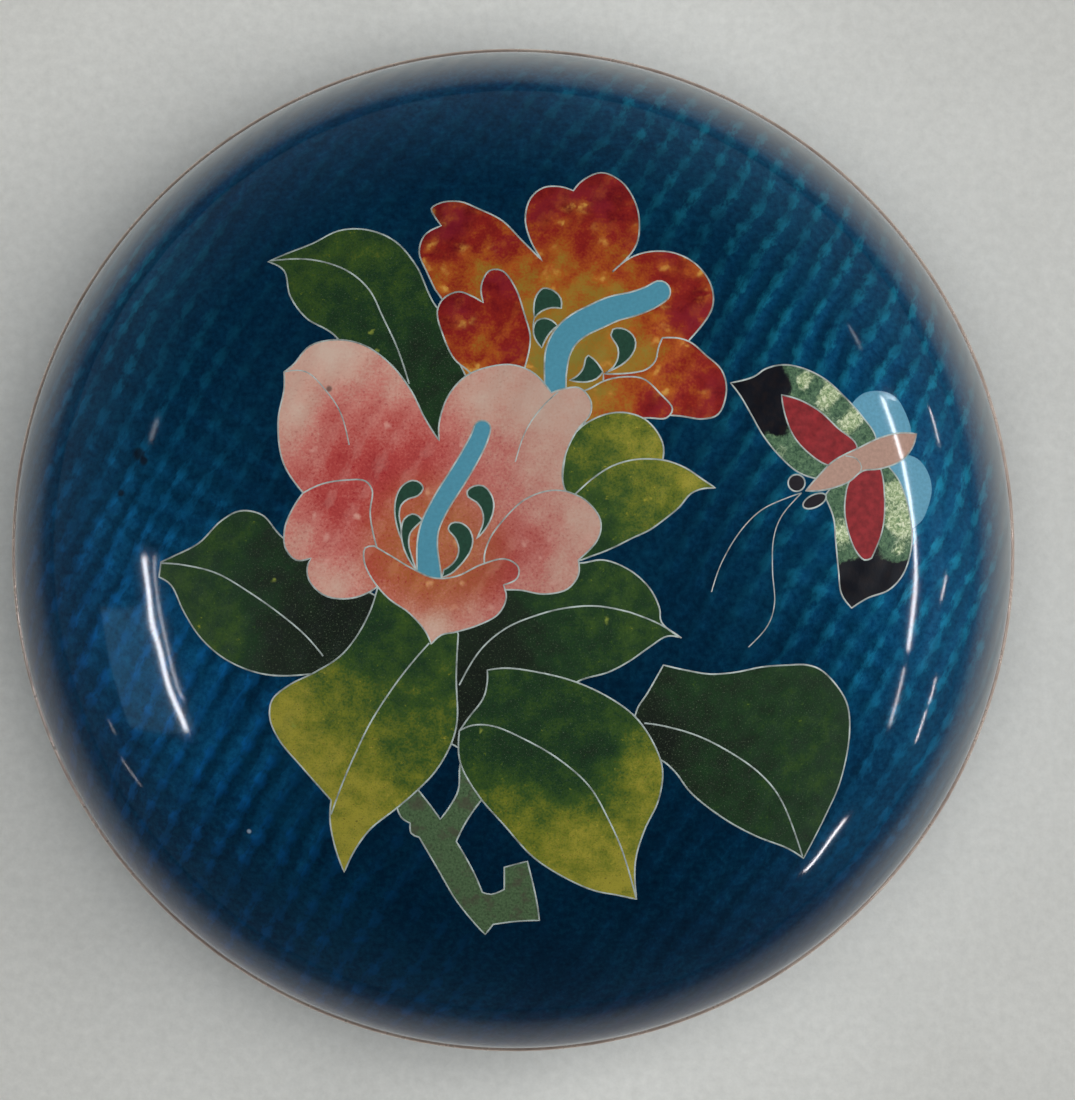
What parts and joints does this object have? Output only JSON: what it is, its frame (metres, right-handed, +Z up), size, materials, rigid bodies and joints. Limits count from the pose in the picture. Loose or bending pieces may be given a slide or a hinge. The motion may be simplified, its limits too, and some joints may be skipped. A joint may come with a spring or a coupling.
{
  "type": "cloisonne enamel box",
  "caption": "Round low box with a domed lift-off lid, enamelled copper with inlaid wire flowers, leaves and a butterfly on blue, on a foot ring.",
  "frame": {"origin": "centre of the foot ring's underside, on the table", "axes": "+Z up along the axis of the round box; +Y is the top of the lid's picture and +X its right"},
  "size_m": [0.1, 0.1, 0.0482],
  "materials": {
    "copper": "polished copper, lightly toned",
    "blue_enamel": "transparent blue enamel over patterned silver foil, polished, with the inlaid wire picture",
    "plain_enamel": "plain blue enamel, glossy as fired"
  },
  "bodies": {
    "root": {"lid_body": "copper", "lid_enamel": "blue_enamel", "lid_lining": "plain_enamel", "base_body": "copper", "base_enamel": "blue_enamel", "base_lining": "plain_enamel", "underside_enamel": "plain_enamel", "foot_ring": "copper", "locating_collar": "copper"}
  },
  "joints": []
}
